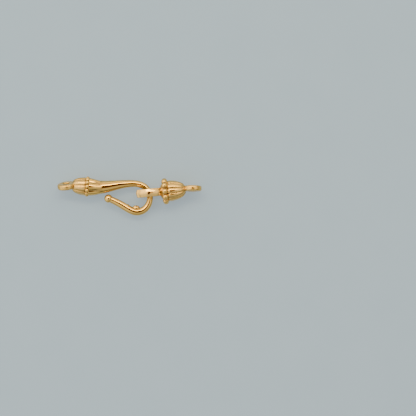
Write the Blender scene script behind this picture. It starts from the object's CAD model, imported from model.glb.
import math

import bpy
import numpy as np
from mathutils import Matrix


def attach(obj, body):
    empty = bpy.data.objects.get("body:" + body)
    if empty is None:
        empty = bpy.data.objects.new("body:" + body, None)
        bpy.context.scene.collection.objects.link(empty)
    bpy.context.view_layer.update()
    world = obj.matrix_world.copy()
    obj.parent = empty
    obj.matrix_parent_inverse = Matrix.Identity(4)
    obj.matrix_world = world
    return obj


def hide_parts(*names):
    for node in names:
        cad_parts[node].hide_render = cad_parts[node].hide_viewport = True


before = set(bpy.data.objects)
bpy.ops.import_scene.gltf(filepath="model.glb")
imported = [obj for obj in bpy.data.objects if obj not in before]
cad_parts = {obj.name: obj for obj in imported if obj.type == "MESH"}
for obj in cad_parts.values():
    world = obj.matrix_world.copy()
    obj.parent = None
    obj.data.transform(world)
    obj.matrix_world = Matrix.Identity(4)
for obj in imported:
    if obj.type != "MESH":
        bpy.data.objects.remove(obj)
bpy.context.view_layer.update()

# Hook's end ring
# A small closed ring of cast gold that grows straight out of the bud's end. The necklace is
# fastened through its hole. The wall is flat inside the hole and rounded outside.
MM = 0.001
BUD_RIM_D, BUD_BEADS, BEAD_OVERLAP = 5.35, 13, 0.03
HOOK_X, HOOK_Y, HOOK_TURN = -11.1, 2.47, -4.0
WIRE_Z, WIRE_REACH = 1.9, 16.3
RING_D, RING_HOLE_D, RING_W = 4.8, 1.8, 1.4
RING_INNER_R, RING_OUTER_R, RING_STEPS = 0.25, 0.45, 128
HOOK_RING_X, HOOK_RING_Y, HOOK_RING_TURN, HOOK_RING_TILT = -5.45, -0.2, 12, 15


def turned(axis, degrees):
    """4 by 4 rotation about one of the axes x, y, z."""
    c, s = math.cos(math.radians(degrees)), math.sin(math.radians(degrees))
    m = np.eye(4)
    i, j = {"x": (1, 2), "y": (2, 0), "z": (0, 1)}[axis]
    m[i, i] = m[j, j] = c
    m[i, j], m[j, i] = -s, s
    return m


def moved(x, y, z):
    """4 by 4 shift in millimetres."""
    m = np.eye(4)
    m[:3, 3] = x, y, z
    return m


def by_matrix(shell, place):
    """A shell of points and faces, put where a 4 by 4 matrix says."""
    points, faces = shell
    return points @ place[:3, :3].T + place[:3, 3], faces


def bead_radius(rim_d, count):
    """Radius of a bead that just overlaps its neighbours on a rim of that outside diameter."""
    s = math.sin(math.pi / count)
    return (rim_d / 2 * s + BEAD_OVERLAP / 2) / (1 + s)


def rim_height(rim_d, count):
    """Height of a beaded rim's centre when it stands on two beads."""
    r = bead_radius(rim_d, count)
    return r + (rim_d / 2 - r) * math.cos(math.pi / count)


bud_rim_z = rim_height(BUD_RIM_D, BUD_BEADS)
hook_pitch = math.degrees(math.asin((bud_rim_z - WIRE_Z) / WIRE_REACH))
hook_place = moved(HOOK_X, HOOK_Y, bud_rim_z) @ turned("z", HOOK_TURN) @ turned("y", hook_pitch)


def loft(rings, closed=False, capped=True):
    """Points and faces of a skin through rings of the same number of points."""
    rings = np.asarray(rings, dtype=float)
    count, sides = rings.shape[:2]
    points = rings.reshape(-1, 3)
    faces = []
    for r in range(count if closed else count - 1):
        low, high = r * sides, (r + 1) % count * sides
        for i in range(sides):
            j = (i + 1) % sides
            faces.append((low + i, low + j, high + j, high + i))
    if capped and not closed:
        faces.append(tuple(range(sides))[::-1])
        faces.append(tuple((count - 1) * sides + i for i in range(sides)))
    return points, faces


def metal_piece(name, shell, place, node, material, marks=None):
    """Mesh from millimetres in a half's own frame, put where that half lies.

    marks holds a number from 0 to 1 for each point, under the names groove and crest."""
    points, faces = by_matrix(shell, place)
    mesh = bpy.data.meshes.new(name)
    mesh.from_pydata((points * MM).tolist(), [], faces)
    for mark in ("groove", "crest"):
        values = (marks or {}).get(mark, np.zeros(len(points)))
        layer = mesh.attributes.new(mark, "FLOAT", "POINT")
        layer.data.foreach_set("value", np.asarray(values, dtype=np.float32))
    mesh.polygons.foreach_set("use_smooth", [True] * len(mesh.polygons))
    mesh.update()
    mesh.materials.append(material)
    piece = bpy.data.objects.new(name, mesh)
    bpy.context.scene.collection.objects.link(piece)
    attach(piece, "root")
    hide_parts(node)


def feed(tree, value, socket):
    """Link an output to a socket, or give the socket a plain value."""
    if isinstance(value, bpy.types.NodeSocket):
        tree.links.new(value, socket)
    else:
        socket.default_value = value


def mapped(tree, value, start, end, low, high, smooth=False):
    """A value that goes from low to high while the given one goes from start to end."""
    made = tree.nodes.new("ShaderNodeMapRange")
    made.interpolation_type = "SMOOTHSTEP" if smooth else "LINEAR"
    limits = {"From Min": start, "From Max": end, "To Min": low, "To Max": high}
    for key, number in limits.items():
        made.inputs[key].default_value = number
    tree.links.new(value, made.inputs["Value"])
    return made.outputs["Result"]


def maths(tree, operation, a, b=0.0):
    """One sum of two outputs or plain numbers."""
    made = tree.nodes.new("ShaderNodeMath")
    made.operation = operation
    feed(tree, a, made.inputs[0])
    feed(tree, b, made.inputs[1])
    return made.outputs["Value"]


def mixed(tree, factor, a, b):
    """Colour a where the factor is 0, and b where it is 1."""
    made = tree.nodes.new("ShaderNodeMix")
    made.data_type = "RGBA"
    tree.links.new(factor, made.inputs["Factor"])
    first, second = [s for s in made.inputs if s.type == "RGBA"]
    feed(tree, a, first)
    feed(tree, b, second)
    return [s for s in made.outputs if s.type == "RGBA"][0]


def noise(tree, place, scale, detail):
    """Cloudy value from 0 to 1 at a place."""
    made = tree.nodes.new("ShaderNodeTexNoise")
    made.inputs["Scale"].default_value = scale
    made.inputs["Detail"].default_value = detail
    tree.links.new(place, made.inputs["Vector"])
    return made.outputs["Fac"]


ROSY_GOLD, RUBBED_GOLD = (0.8, 0.43, 0.1, 1), (0.92, 0.64, 0.3, 1)
CLOUDS, GRAINS, SWELLS, SCRATCH_RUN = 420.0, 2600.0, 900.0, (900.0, 9000.0, 9000.0)
SCRATCH_DEPTH, SWELL_DEPTH = 0.02 * MM, 0.1 * MM


def gold_surface_group():
    """Shared effect: tone, tarnish in the grooves, wear on the crests, fine scratches."""
    group = bpy.data.node_groups.new("gold_surface", "ShaderNodeTree")
    for name, kind, default in (
        ("Tone", "NodeSocketColor", (0.8, 0.55, 0.3, 1)),
        ("Tarnish", "NodeSocketColor", (0.3, 0.12, 0.03, 1)),
        ("Polish", "NodeSocketFloat", 0.12),
        ("Scratches", "NodeSocketFloat", 0.1),
        ("Unevenness", "NodeSocketFloat", 0.1),
    ):
        socket = group.interface.new_socket(name, in_out="INPUT", socket_type=kind)
        socket.default_value = default
    for name, kind in (
        ("Colour", "NodeSocketColor"),
        ("Roughness", "NodeSocketFloat"),
        ("Normal", "NodeSocketVector"),
    ):
        group.interface.new_socket(name, in_out="OUTPUT", socket_type=kind)
    nodes, link = group.nodes, group.links.new
    given = nodes.new("NodeGroupInput").outputs
    result = nodes.new("NodeGroupOutput").inputs
    place = nodes.new("ShaderNodeTexCoord").outputs["Object"]

    def mark(name):
        made = nodes.new("ShaderNodeAttribute")
        made.attribute_name = name
        return made.outputs["Fac"]

    def bumped(height, strength, depth):
        made = nodes.new("ShaderNodeBump")
        made.inputs["Distance"].default_value = depth
        link(strength, made.inputs["Strength"])
        link(height, made.inputs["Height"])
        return made

    cloudy = noise(group, place, CLOUDS, 3.0)
    grainy = noise(group, place, GRAINS, 2.0)
    groove = maths(group, "MULTIPLY", mark("groove"), mapped(group, grainy, 0.3, 0.7, 0.7, 1.0))
    crest = maths(group, "MULTIPLY", mark("crest"), mapped(group, cloudy, 0.35, 0.65, 0.5, 1.0))
    rosiness = mapped(group, cloudy, 0.35, 0.65, 0.0, 0.5)
    rosy = mixed(group, rosiness, given["Tone"], ROSY_GOLD)
    rubbed = mixed(group, maths(group, "MULTIPLY", crest, 0.3), rosy, RUBBED_GOLD)
    link(mixed(group, groove, rubbed, given["Tarnish"]), result["Colour"])

    rough = maths(group, "ADD", given["Polish"], mapped(group, grainy, 0.3, 0.7, -0.03, 0.05))
    rough = maths(group, "ADD", rough, maths(group, "MULTIPLY", groove, 0.3))
    rough = maths(group, "SUBTRACT", rough, maths(group, "MULTIPLY", crest, 0.03))
    link(rough, result["Roughness"])

    drawn_out = nodes.new("ShaderNodeMapping")
    drawn_out.inputs["Scale"].default_value = SCRATCH_RUN
    link(place, drawn_out.inputs["Vector"])
    scratched = noise(group, drawn_out.outputs["Vector"], 1.0, 2.0)
    scratches = bumped(scratched, given["Scratches"], SCRATCH_DEPTH)
    swells = bumped(noise(group, place, SWELLS, 1.0), given["Unevenness"], SWELL_DEPTH)
    link(swells.outputs["Normal"], scratches.inputs["Normal"])
    link(scratches.outputs["Normal"], result["Normal"])
    return group


gold_surface = gold_surface_group()
DARK_SOLDER, MIRRORED_GOLD = (0.2, 0.12, 0.055), (0.6, 0.46, 0.25, 1)


def gold(name, tone, polish, scratches, unevenness, tarnish=DARK_SOLDER):
    """Polished gold alloy with its own tone and finish; gold mirrored in gold stays pale."""
    material = bpy.data.materials.new(name)
    material.use_nodes = True
    tree = material.node_tree
    shader = tree.nodes["Principled BSDF"].inputs
    shader["Metallic"].default_value = 1.0
    surface = tree.nodes.new("ShaderNodeGroup")
    surface.node_tree = gold_surface
    surface.inputs["Tone"].default_value = (*tone, 1)
    surface.inputs["Tarnish"].default_value = (*tarnish, 1)
    surface.inputs["Polish"].default_value = polish
    surface.inputs["Scratches"].default_value = scratches
    surface.inputs["Unevenness"].default_value = unevenness
    mirrored = tree.nodes.new("ShaderNodeLightPath").outputs["Is Glossy Ray"]
    seen = mixed(tree, mirrored, surface.outputs["Colour"], MIRRORED_GOLD)
    tree.links.new(seen, shader["Base Color"])
    tree.links.new(surface.outputs["Roughness"], shader["Roughness"])
    tree.links.new(surface.outputs["Normal"], shader["Normal"])
    return material


def round_angles(count):
    """Angles in radians, evenly spaced all the way round."""
    return np.linspace(0, 2 * math.pi, count, endpoint=False)


def corner(centre, r, start, end, steps):
    """Points of a rounded corner, angles in degrees."""
    angles = np.radians(np.linspace(start, end, steps + 1))
    return [(centre[0] + r * math.cos(a), centre[1] + r * math.sin(a)) for a in angles]


def end_ring():
    """Ring with its hole along Y, flat inside and round outside."""
    wall = (RING_D - RING_HOLE_D) / 2
    inner, outer = RING_INNER_R, RING_OUTER_R
    section = (
        corner((inner, inner), inner, 180, 270, 6)
        + corner((wall - outer, outer), outer, 270, 360, 14)
        + corner((wall - outer, RING_W - outer), outer, 0, 90, 14)
        + corner((inner, RING_W - inner), inner, 90, 180, 6)
    )
    rings = []
    for a in round_angles(RING_STEPS):
        ring = []
        for out, across in section:
            r = RING_HOLE_D / 2 + out
            ring.append((r * math.cos(a), across - RING_W / 2, r * math.sin(a)))
        rings.append(ring)
    return loft(rings, closed=True)


hook_ring_place = (
    moved(HOOK_RING_X, HOOK_RING_Y, 0) @ turned("z", HOOK_RING_TURN) @ turned("x", HOOK_RING_TILT)
)
ring_gold = gold("gold_end_ring", (0.85, 0.5, 0.112), polish=0.26, scratches=0.2, unevenness=0.2)
hook_ring_shell = by_matrix(end_ring(), hook_ring_place)
metal_piece("hook_end_ring", hook_ring_shell, hook_place, "hook", ring_gold)

# Bud
# Cast cup of eight rounded petals that closes round the end ring. Chased grooves part the
# petals, which end round at the ring and pointed at the beaded rim.
BUD_L, BUD_PETALS, BUD_GROOVE, BUD_TURN = 4.0, 8, 0.28, 15
BUD_RIM_TIPS, BUD_NECK_TIPS = 0.22, 0.2
PETAL_ROWS, PETAL_SIDES, PETAL_ROUNDNESS = 110, 36, 0.985
PETAL_TIP_W, PETAL_END_W = 0.25, 0.35
GROOVE_EDGE, CREST_EDGE = 0.74, 0.5
GROOVES_END, GROOVES_FADE = 1.04, 3
BUD_OUTLINE = [
    (0.02, 1.5), (0.12, 2.3), (0.18, 2.4), (0.26, 2.38), (0.38, 2.32), (0.5, 2.24),
    (0.62, 2.12), (0.74, 1.95), (0.85, 1.72), (0.94, 1.36), (1.0, 0.85),
]


def outline_radius(outline, shares):
    """Smooth radius along a short outline table: cubic through its rows."""
    xs, ys = np.array(outline).T
    slopes = np.gradient(ys, xs)
    i = np.clip(np.searchsorted(xs, shares) - 1, 0, len(xs) - 2)
    h = xs[i + 1] - xs[i]
    t = (shares - xs[i]) / h
    return (
        (2 * t**3 - 3 * t**2 + 1) * ys[i]
        + (t**3 - 2 * t**2 + t) * h * slopes[i]
        + (3 * t**2 - 2 * t**3) * ys[i + 1]
        + (t**3 - t**2) * h * slopes[i + 1]
    )


def petal_width(share, rim_tips, neck_tips):
    """Share of its place round the body that a petal fills at a share of the length."""
    if share < rim_tips:
        return PETAL_TIP_W + (1 - PETAL_TIP_W) * (share / rim_tips) ** 0.7
    if share > 1 - neck_tips:
        beyond = (share - 1 + neck_tips) / neck_tips
        return PETAL_END_W + (1 - PETAL_END_W) * math.sqrt(max(0, 1 - beyond**2))
    return 1.0


def petalled(outline, length, count, groove, turn, toward, rim_tips, neck_tips):
    """Round body with petals along X, with marks for grooves and crests.

    toward is 1 or -1, the way along X from rim to neck. rim_tips and neck_tips are the shares
    of the length over which the petals come to a point at the rim and end round at the neck."""
    sides = count * PETAL_SIDES
    shares = np.linspace(outline[0][0], outline[-1][0], PETAL_ROWS)
    angles = round_angles(sides)
    turns = angles + math.radians(turn)
    off = np.abs((angles * count / (2 * math.pi) + 0.5) % 1 - 0.5) * 2
    rings, grooves, crests = [], [], []
    for share, r in zip(shares, outline_radius(outline, shares)):
        t = np.clip(off / petal_width(share, rim_tips, neck_tips), 0, 1)
        back = np.sqrt(1 - PETAL_ROUNDNESS * t**2)
        depth = groove * min(1, GROOVES_FADE * (GROOVES_END - share))
        around = r - depth * (1 - back)
        along = np.full(sides, toward * length * share)
        rings.append(np.stack([along, -around * np.sin(turns), around * np.cos(turns)], axis=1))
        grooves.append(np.clip((t - GROOVE_EDGE) / (1 - GROOVE_EDGE), 0, 1) ** 1.5)
        crests.append(np.clip(1 - t / CREST_EDGE, 0, 1))
    shell = loft(rings[::toward])
    marks = {"groove": np.concatenate(grooves[::toward]), "crest": np.concatenate(crests[::toward])}
    return shell, marks


bud_gold = gold("gold_bud", (0.79, 0.455, 0.1), polish=0.2, scratches=0.25, unevenness=0.25)
bud_shell, bud_marks = petalled(
    BUD_OUTLINE, BUD_L, BUD_PETALS, BUD_GROOVE, BUD_TURN, -1, BUD_RIM_TIPS, BUD_NECK_TIPS
)
metal_piece("bud", bud_shell, hook_place, "hook", bud_gold, bud_marks)

# Beaded rim of the hook half
# A ring of thirteen round gold beads soldered side by side over the joint of bud and horn,
# with solder left dark in the creases between them.
BUD_CORE_W, CORE_INSET, CORE_SIDES = 0.7, 0.05, 96
BEAD_STEPS, BEAD_SIDES = 25, 36
CREASE_FROM, CREASE_WIDTH = 0.66, 0.3


def joined(*parts):
    """One list of points and one of faces from several shells."""
    points, faces, start = [], [], 0
    for more, quads in parts:
        points.append(more)
        faces += [tuple(start + v for v in face) for face in quads]
        start += len(more)
    return np.vstack(points), faces


def hoop(x, r, sides):
    """Points of a circle round the X axis."""
    return [(x, r * math.sin(a), r * math.cos(a)) for a in round_angles(sides)]


def ball(r, steps=33, sides=48):
    """Skin of a round ball with its poles on the X axis."""
    ups = np.linspace(0, math.pi, steps)
    return loft([hoop(r * math.cos(a), r * math.sin(a), sides) for a in ups], capped=False)


def bead_ring(rim_d, count, core_w):
    """Beads round the X axis on a flat core, with grooves marked where they meet."""
    r = bead_radius(rim_d, count)
    out = rim_d / 2 - r
    bead = ball(r, BEAD_STEPS, BEAD_SIDES)
    beside = np.abs(bead[0][:, 1]) / r
    below = np.clip(-bead[0][:, 2] / r, 0, 1)
    bead_groove = np.clip(np.maximum((beside - CREASE_FROM) / CREASE_WIDTH, below), 0, 1)
    parts = [
        by_matrix(bead, turned("x", 360 * i / count) @ moved(0, 0, out)) for i in range(count)
    ]
    core = loft([hoop(x, out - CORE_INSET, CORE_SIDES) for x in (-core_w / 2, core_w / 2)])
    grooves = np.concatenate([bead_groove] * count + [np.ones(len(core[0]))])
    return joined(*parts, core), {"groove": grooves}


bead_gold = gold(
    "gold_beads", (0.87, 0.51, 0.105), polish=0.09, scratches=0.08, unevenness=0.06,
    tarnish=(0.3, 0.18, 0.075),
)
bud_bead_shell, bud_bead_marks = bead_ring(BUD_RIM_D, BUD_BEADS, BUD_CORE_W)
metal_piece("bud_beads", bud_bead_shell, hook_place, "hook", bead_gold, bud_bead_marks)

# Horn and hook wire
# Cast horn that carries a collar of six long petals on its thick end, tapers to plain round
# wire, bends round through the eye loop and comes back. It is polished bright.
COLLAR_L, COLLAR_PETALS, COLLAR_RELIEF, COLLAR_TURN = 4.1, 6, 0.4, -4
COLLAR_CREASE, COLLAR_CREST = 0.3, 0.7
ROOT_AT, ROOT_R, HORN_SIDES = 0.02, 1.4, 144
WIRE = np.array(
    [
        (-2.6, 0.1, 2.2), (0.1, -0.05, 2.15), (2.8, -0.1, 1.85), (5.6, 0.4, 1.5), (8.2, 1.1, 1.2),
        (10.7, 1.55, 0.95), (13.5, 1.8, 0.85), (16.0, 0.65, 0.8), (16.95, -1.95, 0.75),
        (16.05, -4.85, 0.9), (13.3, -6.15, 1.0), (10.6, -4.85, 0.95), (8.15, -3.55, 0.9),
        (5.75, -2.75, 0.8), (3.35, -1.9, 0.75),
    ]
)
WIRE_SPANS = len(WIRE) - 3


def wire_point(s):
    """Point, radius and direction of the uniform cubic spline, s spans along WIRE."""
    i = min(int(s), WIRE_SPANS - 1)
    t = s - i
    pulls = np.array(
        [(1 - t) ** 3, 3 * t**3 - 6 * t**2 + 4, -3 * t**3 + 3 * t**2 + 3 * t + 1, t**3]
    )
    slopes = np.array([-((1 - t) ** 2), 3 * t**2 - 4 * t, -3 * t**2 + 2 * t + 1, t**2])
    x, y, r = pulls / 6 @ WIRE[i : i + 4]
    dx, dy, _ = slopes / 2 @ WIRE[i : i + 4]
    size = math.hypot(dx, dy)
    return x, y, r, dx / size, dy / size


def horn_and_wire():
    """Skin of the collar, horn, bend and arm, with the collar's grooves and crests marked."""
    angles = round_angles(HORN_SIDES)
    turns = angles + math.radians(COLLAR_TURN)
    ridge = np.abs(np.cos(COLLAR_PETALS * angles / 2))
    collar_run, wire_run = np.linspace(0.13, 1.8, 130), np.linspace(1.83, WIRE_SPANS, 170)
    rings, grooves, crests = [], [], []
    for s in (ROOT_AT, *collar_run, *wire_run):
        x, y, r, dx, dy = wire_point(s)
        share = x / COLLAR_L
        lift = np.zeros(HORN_SIDES)
        groove = np.zeros(HORN_SIDES)
        if s == ROOT_AT:
            r = ROOT_R
        elif s < 3 and 0 <= share < 1:
            petals = np.maximum(0, ridge - share**2)
            lift = COLLAR_RELIEF * (1 - share**2) * petals / (1 - 0.5 * share**2)
            groove = np.clip(1 - petals / COLLAR_CREASE, 0, 1) * (1 - share) ** 0.5
        around = r + lift
        aside = around * np.sin(turns)
        rings.append(np.stack([x + dy * aside, y - dx * aside, around * np.cos(turns)], axis=1))
        grooves.append(groove)
        crests.append(np.clip(lift / COLLAR_RELIEF - COLLAR_CREST, 0, 1))
    return loft(rings), {"groove": np.concatenate(grooves), "crest": np.concatenate(crests)}


horn_gold = gold("gold_horn", (0.86, 0.51, 0.112), polish=0.06, scratches=0.04, unevenness=0.03)
horn_shell, horn_marks = horn_and_wire()
metal_piece("horn", horn_shell, hook_place, "hook", horn_gold, horn_marks)

# Pads on the arm
# Two low round swellings on the inner side of the hook's arm, cast with it and left plain.
LONG_PAD_R, LONG_PAD_STRETCH, LONG_PAD_X, LONG_PAD_Y = 0.7, 1.4, 13.2, -4.73
ROUND_PAD_R, ROUND_PAD_X, ROUND_PAD_Y = 0.5, 10.9, -4.35
pad_gold = gold("gold_pads", (0.86, 0.51, 0.12), polish=0.16, scratches=0.2, unevenness=0.2)
long_pad_place = moved(LONG_PAD_X, LONG_PAD_Y, 0) @ np.diag((LONG_PAD_STRETCH, 1, 1, 1))
long_pad = by_matrix(ball(LONG_PAD_R), long_pad_place)
round_pad = by_matrix(ball(ROUND_PAD_R), moved(ROUND_PAD_X, ROUND_PAD_Y, 0))
metal_piece("arm_pads", joined(long_pad, round_pad), hook_place, "hook", pad_gold)

# Ball tip
# Round gold ball soldered on the end of the hook so that it doesn't snag. Bright polished.
TIP_D = 2.2
tip_x, tip_y = wire_point(WIRE_SPANS)[:2]
tip_gold = gold("gold_ball", (0.87, 0.52, 0.112), polish=0.1, scratches=0.1, unevenness=0.06)
tip_shell = by_matrix(ball(TIP_D / 2), moved(tip_x, tip_y, 0))
metal_piece("ball_tip", tip_shell, hook_place, "hook", tip_gold)

# Eye loop
# Cast band standing on edge, with a round hole for the hook's wire. Its free end is nearly
# square with round corners; arched top and bottom run into the dome. Polished bright.
BELL_RIM_D, BELL_BEADS = 6.93, 11
EYE_X, EYE_Y, EYE_TURN = 9.4, 1.22, 5.5
LOOP_D, LOOP_HOLE_D, LOOP_W, LOOP_REACH = 6.6, 4.8, 2.1, 4.3
LOOP_ARCH_R, LOOP_CORNER_R, LOOP_ROOT, LOOP_EDGE = 5.2, 1.2, 0.4, 0.08
CROWN_X, CROWN_REACH = -0.12, 1.35
CROWN_ALONG, CROWN_ACROSS = (0.62, 0.26), (0.5, 0.31)
LOOP_STEPS, ARC_STEPS, END_STEPS, FACE_STEPS, HOLE_STEPS = 240, 60, 30, 26, 8

bell_rim_z = rim_height(BELL_RIM_D, BELL_BEADS)
eye_pitch = math.degrees(math.asin((bell_rim_z - LOOP_D / 2) / LOOP_REACH))
eye_place = moved(EYE_X, EYE_Y, bell_rim_z) @ turned("z", EYE_TURN) @ turned("y", -eye_pitch)


def loop_outline(count):
    """Points and outward directions round the loop's outside, evenly spaced."""
    half = LOOP_D / 2
    low = LOOP_ARCH_R - half
    across = half - LOOP_CORNER_R
    up = math.sqrt((LOOP_ARCH_R - LOOP_CORNER_R) ** 2 - across**2) - low
    meet = math.degrees(math.atan2(up + low, across))
    end_x = LOOP_REACH - LOOP_ROOT
    end = math.degrees(math.acos(end_x / LOOP_ARCH_R))
    end_z = LOOP_ARCH_R * math.sin(math.radians(end)) - low
    arcs = (
        ((0, -low), LOOP_ARCH_R, end, 180 - meet),
        ((-across, up), LOOP_CORNER_R, 180 - meet, 180),
        ((-across, -up), LOOP_CORNER_R, 180, 180 + meet),
        ((0, low), LOOP_ARCH_R, 180 + meet, 360 - end),
    )
    points, normals = [], []
    for (x, z), r, first, last in arcs:
        for a in np.radians(np.linspace(first, last, ARC_STEPS)):
            points.append((x + r * math.cos(a), z + r * math.sin(a)))
            normals.append((math.cos(a), math.sin(a)))
    for share in np.linspace(-1, 1, END_STEPS):
        a = math.radians(end * share)
        points.append((end_x, end_z * share))
        normals.append((math.cos(a), math.sin(a)))
    points, normals = np.array(points), np.array(normals)
    steps = np.linalg.norm(np.diff(points, axis=0), axis=1) + 1e-9
    walked = np.concatenate([[0], np.cumsum(steps)])
    at = np.linspace(0, walked[-1], count, endpoint=False)
    return (
        np.stack([np.interp(at, walked, points[:, i]) for i in (0, 1)], axis=1),
        np.stack([np.interp(at, walked, normals[:, i]) for i in (0, 1)], axis=1),
    )


def crest_fall(away, near, slope):
    """How far a crowned face has fallen at a distance from its crest: round, then straight."""
    away = abs(away)
    return away * away * slope / (2 * near) if away < near else slope * (away - near / 2)


def eye_loop_shell():
    """Band whose outside is crowned in the middle of its top and bottom, its edges broken.

    outer, inner and last hold the steps of the section, each a place across the band and how
    deep the metal is cut there: over the outside, through the hole, and back to the start."""
    half, hole_r = LOOP_W / 2, LOOP_HOLE_D / 2
    edge = ((half - 0.3 * LOOP_EDGE, 0.3 * LOOP_EDGE), (half, LOOP_EDGE))
    side = crest_fall(half, *CROWN_ACROSS)
    face = np.linspace(-half + LOOP_EDGE, half - LOOP_EDGE, FACE_STEPS)
    outer = [(y, crest_fall(y, *CROWN_ACROSS)) for y in face]
    outer += [(y, side + cut) for y, cut in edge]
    inner = list(edge[::-1])
    inner += [(y, 0.0) for y in np.linspace(half - LOOP_EDGE, -half + LOOP_EDGE, HOLE_STEPS)]
    inner += [(-y, cut) for y, cut in edge]
    last = [(-y, side + cut) for y, cut in edge[::-1]]
    rings = []
    for (x, z), (nx, nz) in zip(*loop_outline(LOOP_STEPS)):
        a = math.atan2(z, x)
        near = min(abs(x - CROWN_X), CROWN_REACH)
        level = crest_fall(near, *CROWN_ALONG) - near * near / (2 * LOOP_ARCH_R)
        lower = level * min(1, max(0, abs(nz) - 0.5) * 4)
        ring = []
        for y, cut in outer:
            ring.append((x - nx * (lower + cut) - LOOP_REACH, y, z - nz * (lower + cut)))
        for y, cut in inner:
            r = hole_r + cut
            ring.append((r * math.cos(a) - LOOP_REACH, y, r * math.sin(a)))
        for y, cut in last:
            ring.append((x - nx * (lower + cut) - LOOP_REACH, y, z - nz * (lower + cut)))
        rings.append(ring)
    return loft(rings, closed=True)


loop_gold = gold("gold_loop", (0.88, 0.54, 0.143), polish=0.1, scratches=0.1, unevenness=0.05)
metal_piece("eye_loop", eye_loop_shell(), eye_place, "eye", loop_gold)

# Dome
# Low raised disc that closes the bell's mouth inside the beads and carries the loop. Its
# face is less polished than the rest, because the beads and the loop shield it.
DOME_R, DOME_AT, DOME_EDGE_X, DOME_POLE = 3.2, 1.7, -0.3, 0.002
DOME_STEPS, DOME_SIDES = 40, 96
dome_edge = math.acos((DOME_AT - DOME_EDGE_X) / DOME_R)
dome_rings = [
    hoop(DOME_AT - DOME_R * math.cos(a), DOME_R * math.sin(a), DOME_SIDES)
    for a in np.linspace(DOME_POLE, dome_edge, DOME_STEPS)
]
dome_gold = gold("gold_dome", (0.78, 0.43, 0.09), polish=0.3, scratches=0.2, unevenness=0.3)
metal_piece("dome", loft(dome_rings), eye_place, "eye", dome_gold)

# Beaded rim of the eye half
# A ring of eleven larger gold beads soldered round the bell's mouth.
BELL_CORE_W = 0.9
bell_bead_shell, bell_bead_marks = bead_ring(BELL_RIM_D, BELL_BEADS, BELL_CORE_W)
metal_piece("bell_beads", bell_bead_shell, eye_place, "eye", bead_gold, bell_bead_marks)

# Bell
# Cast bell with a rounded petal behind each bead. Narrow chased grooves part the petals,
# which are pointed at the beads and end round at the end ring.
BELL_L, BELL_GROOVE, BELL_TURN = 5.35, 0.3, 0
BELL_RIM_TIPS, BELL_NECK_TIPS = 0.25, 0.16
BELL_OUTLINE = [
    (0.02, 1.7), (0.12, 2.5), (0.17, 2.65), (0.24, 2.72), (0.34, 2.7), (0.45, 2.6), (0.55, 2.48),
    (0.65, 2.33), (0.74, 2.14), (0.83, 1.88), (0.91, 1.56), (0.97, 1.15), (1.0, 0.95),
]
bell_gold = gold("gold_bell", (0.83, 0.485, 0.108), polish=0.17, scratches=0.12, unevenness=0.05)
bell_shell, bell_marks = petalled(
    BELL_OUTLINE, BELL_L, BELL_BEADS, BELL_GROOVE, BELL_TURN, 1, BELL_RIM_TIPS, BELL_NECK_TIPS
)
metal_piece("bell", bell_shell, eye_place, "eye", bell_gold, bell_marks)

# Eye's end ring
# The other closed ring of cast gold, which grows out of the bell's end a little askew. The
# necklace's other end is fastened through its hole.
EYE_RING_X, EYE_RING_Y, EYE_RING_TURN, EYE_RING_TILT = 7.2, 0.05, 175, 4
eye_ring_place = (
    moved(EYE_RING_X, EYE_RING_Y, 0) @ turned("z", EYE_RING_TURN) @ turned("x", EYE_RING_TILT)
)
eye_ring_shell = by_matrix(end_ring(), eye_ring_place)
metal_piece("eye_end_ring", eye_ring_shell, eye_place, "eye", ring_gold)

# Board
# The clasp lies on a matt sheet of pale grey-blue board, which is lit a little from below to
# soften the shadows.
BOARD_HALF = 3.0
BOARD_GLOW, BOARD_GLOW_COLOUR = 1.92, (0.157, 0.18, 0.188, 1)
BOARD_TONES = ((0.3, (0.152, 0.219, 0.275, 1)), (0.7, (0.162, 0.228, 0.284, 1)))
BOARD_ROUGHNESS, BOARD_SHEEN, BOARD_MOTTLE = 0.85, 0.2, 90.0


def stage_mesh(name, points, faces, material):
    """A piece of the studio, not of the clasp."""
    mesh = bpy.data.meshes.new(name)
    mesh.from_pydata(points, [], faces)
    mesh.materials.append(material)
    piece = bpy.data.objects.new(name, mesh)
    bpy.context.scene.collection.objects.link(piece)


def board_material():
    """Matt pale board with a faint mottle, lit a little from below."""
    material = bpy.data.materials.new("pale_board")
    material.use_nodes = True
    tree = material.node_tree
    shader = tree.nodes["Principled BSDF"].inputs
    shader["Roughness"].default_value = BOARD_ROUGHNESS
    shader["Specular IOR Level"].default_value = BOARD_SHEEN
    shader["Emission Color"].default_value = BOARD_GLOW_COLOUR
    shader["Emission Strength"].default_value = BOARD_GLOW
    place = tree.nodes.new("ShaderNodeTexCoord").outputs["Object"]
    ramp = tree.nodes.new("ShaderNodeValToRGB")
    for stop, (position, tone) in zip(ramp.color_ramp.elements, BOARD_TONES):
        stop.position = position
        stop.color = tone
    tree.links.new(noise(tree, place, BOARD_MOTTLE, 4.0), ramp.inputs["Fac"])
    tree.links.new(ramp.outputs["Color"], shader["Base Color"])
    return material


board_corners = [
    (x * BOARD_HALF, y * BOARD_HALF, 0) for x, y in ((-1, -1), (1, -1), (1, 1), (-1, 1))
]
stage_mesh("board", board_corners, [(0, 1, 2, 3)], board_material())

# Tent
# White cloth arches over the board and closes it in at the front and back. It glows brighter
# at its back and its left foot, dimmer and cooler in front, and it is dark round the lens.
VIEW_X, VIEW_Y, MID_Z = 0.02063, -0.00317, 0.0034
TENT_R, TENT_FRONT, TENT_BACK, TENT_ARCS, TENT_SWEEP = 0.7, -0.8, 0.9, 64, 89
LENS_X, LENS_WIDE, LENS_LONG, LENS_TURN = VIEW_X + 0.07, 0.205, 0.38, -5
LENS_GLOW, TENT_GLOW = 0.12, 1.9
LENS_SHADE = (1.0, 0.5, 0.28, 1)
COOL_CLOTH, WARM_CLOTH = (0.86, 0.92, 1.0, 1), (1.0, 0.91, 0.76, 1)


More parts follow.
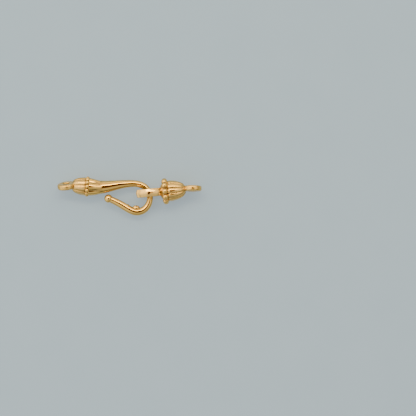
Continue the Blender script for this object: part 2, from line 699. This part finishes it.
def glowing_material(name):
    """Material that only gives light, with its emission node and where a point of it lies."""
    material = bpy.data.materials.new(name)
    material.use_nodes = True
    tree = material.node_tree
    tree.nodes.remove(tree.nodes["Principled BSDF"])
    glow = tree.nodes.new("ShaderNodeEmission")
    tree.links.new(glow.outputs["Emission"], tree.nodes["Material Output"].inputs["Surface"])
    place = tree.nodes.new("ShaderNodeTexCoord").outputs["Object"]
    split = tree.nodes.new("ShaderNodeSeparateXYZ")
    tree.links.new(place, split.inputs["Vector"])
    return material, glow.inputs, place, split.outputs


def tent_material():
    """White cloth lit from outside, dark round the lens."""
    material, glow, place, at = glowing_material("tent_cloth")
    tree = material.node_tree

    def rise(value, start, end, low, high):
        return mapped(tree, value, start, end, low, high, smooth=True)

    def times(*factors):
        product = factors[0]
        for factor in factors[1:]:
            product = maths(tree, "MULTIPLY", product, factor)
        return product

    centred = tree.nodes.new("ShaderNodeMapping")
    centred.vector_type = "TEXTURE"
    centred.inputs["Location"].default_value = (LENS_X, VIEW_Y, 0)
    centred.inputs["Rotation"].default_value = (0, 0, math.radians(LENS_TURN))
    centred.inputs["Scale"].default_value = (LENS_WIDE, LENS_LONG, 10)
    tree.links.new(place, centred.inputs["Vector"])
    length = tree.nodes.new("ShaderNodeVectorMath")
    length.operation = "LENGTH"
    tree.links.new(centred.outputs["Vector"], length.inputs[0])
    away = length.outputs["Value"]

    front = rise(at["Y"], -0.5, 0.25, 0.46, 1.0)
    back = rise(at["Y"], 0.45, 0.75, 1.0, 0.65)
    left = rise(at["X"], -0.6, 0.0, 1.7, 1.0)
    foot = rise(at["Z"], 0.2, 0.5, 0.3, 1.0)
    lens = rise(away, 0.8, 1.2, LENS_GLOW, TENT_GLOW)
    low_back = times(rise(at["Y"], 0.7, 0.89, 0.0, 1.0), rise(at["Z"], 0.15, 0.45, 1.7, 0.0))
    low_left = rise(at["X"], -0.68, -0.58, 1.6, 0.0)
    extra = maths(tree, "ADD", low_back, low_left)
    strength = maths(tree, "ADD", times(front, back, left, foot, lens), extra)
    tree.links.new(strength, glow["Strength"])

    cloth = mixed(tree, rise(at["Y"], -0.45, 0.2, 0.0, 1.0), COOL_CLOTH, WARM_CLOTH)
    tint = mixed(tree, rise(away, 0.8, 1.2, 0.0, 1.0), LENS_SHADE, cloth)
    tree.links.new(tint, glow["Color"])
    return material


tent_points, tent_faces = [], []
for y in (TENT_FRONT, TENT_BACK):
    for a in np.radians(np.linspace(-TENT_SWEEP, TENT_SWEEP, TENT_ARCS + 1)):
        tent_points.append((VIEW_X + TENT_R * math.sin(a), y, TENT_R * math.cos(a)))
for step in range(TENT_ARCS):
    tent_faces.append((step, step + 1, TENT_ARCS + 2 + step, TENT_ARCS + 1 + step))
tent_faces.append(tuple(range(TENT_ARCS + 1)))
tent_faces.append(tuple(range(TENT_ARCS + 1, 2 * TENT_ARCS + 2)))
stage_mesh("tent", tent_points, tent_faces, tent_material())

# Lamp
# A long lamp with a warm white diffuser hangs under the top of the tent, towards its back. It
# fades to its ends.
LAMP_LOW, LAMP_HIGH, LAMP_SIDE, LAMP_Z, LAMP_DROP = 0.31, 0.4, 0.6, 0.6, 0.08
LAMP_GLOW, LAMP_END_GLOW, LAMP_COLOUR = 13.0, 3.9, (1.0, 0.87, 0.57, 1)


def lamp_material():
    """Diffuser of a long lamp: even in the middle, fading to its ends."""
    material, glow, _, at = glowing_material("lamp_diffuser")
    tree = material.node_tree
    side = maths(tree, "ABSOLUTE", at["X"])
    tree.links.new(mapped(tree, side, 0.2, 0.65, LAMP_GLOW, LAMP_END_GLOW), glow["Strength"])
    glow["Color"].default_value = LAMP_COLOUR
    return material


lamp_corners = [
    (-LAMP_SIDE, LAMP_LOW, LAMP_Z), (LAMP_SIDE, LAMP_LOW, LAMP_Z),
    (LAMP_SIDE, LAMP_HIGH, LAMP_Z - LAMP_DROP), (-LAMP_SIDE, LAMP_HIGH, LAMP_Z - LAMP_DROP),
]
stage_mesh("lamp", lamp_corners, [(0, 1, 2, 3)], lamp_material())

# Room and camera
# The room outside the tent is dim. The camera looks straight down, and the clasp lies left of
# the picture's middle and a little above it.
ROOM_COLOUR, ROOM_GLOW = (0.30, 0.27, 0.24, 1), 0.6
DISTANCE, FRAME_WIDTH, SENSOR_WIDTH = 0.5, 0.1092, 36.0
world = bpy.data.worlds.new("dim_room")
world.use_nodes = True
world.node_tree.nodes["Background"].inputs["Color"].default_value = ROOM_COLOUR
world.node_tree.nodes["Background"].inputs["Strength"].default_value = ROOM_GLOW
bpy.context.scene.world = world

camera_data = bpy.data.cameras.new("camera")
camera_data.sensor_width = SENSOR_WIDTH
camera_data.lens = SENSOR_WIDTH * DISTANCE / FRAME_WIDTH
camera = bpy.data.objects.new("camera", camera_data)
camera.location = (VIEW_X, VIEW_Y, MID_Z + DISTANCE)
bpy.context.scene.collection.objects.link(camera)
bpy.context.scene.camera = camera
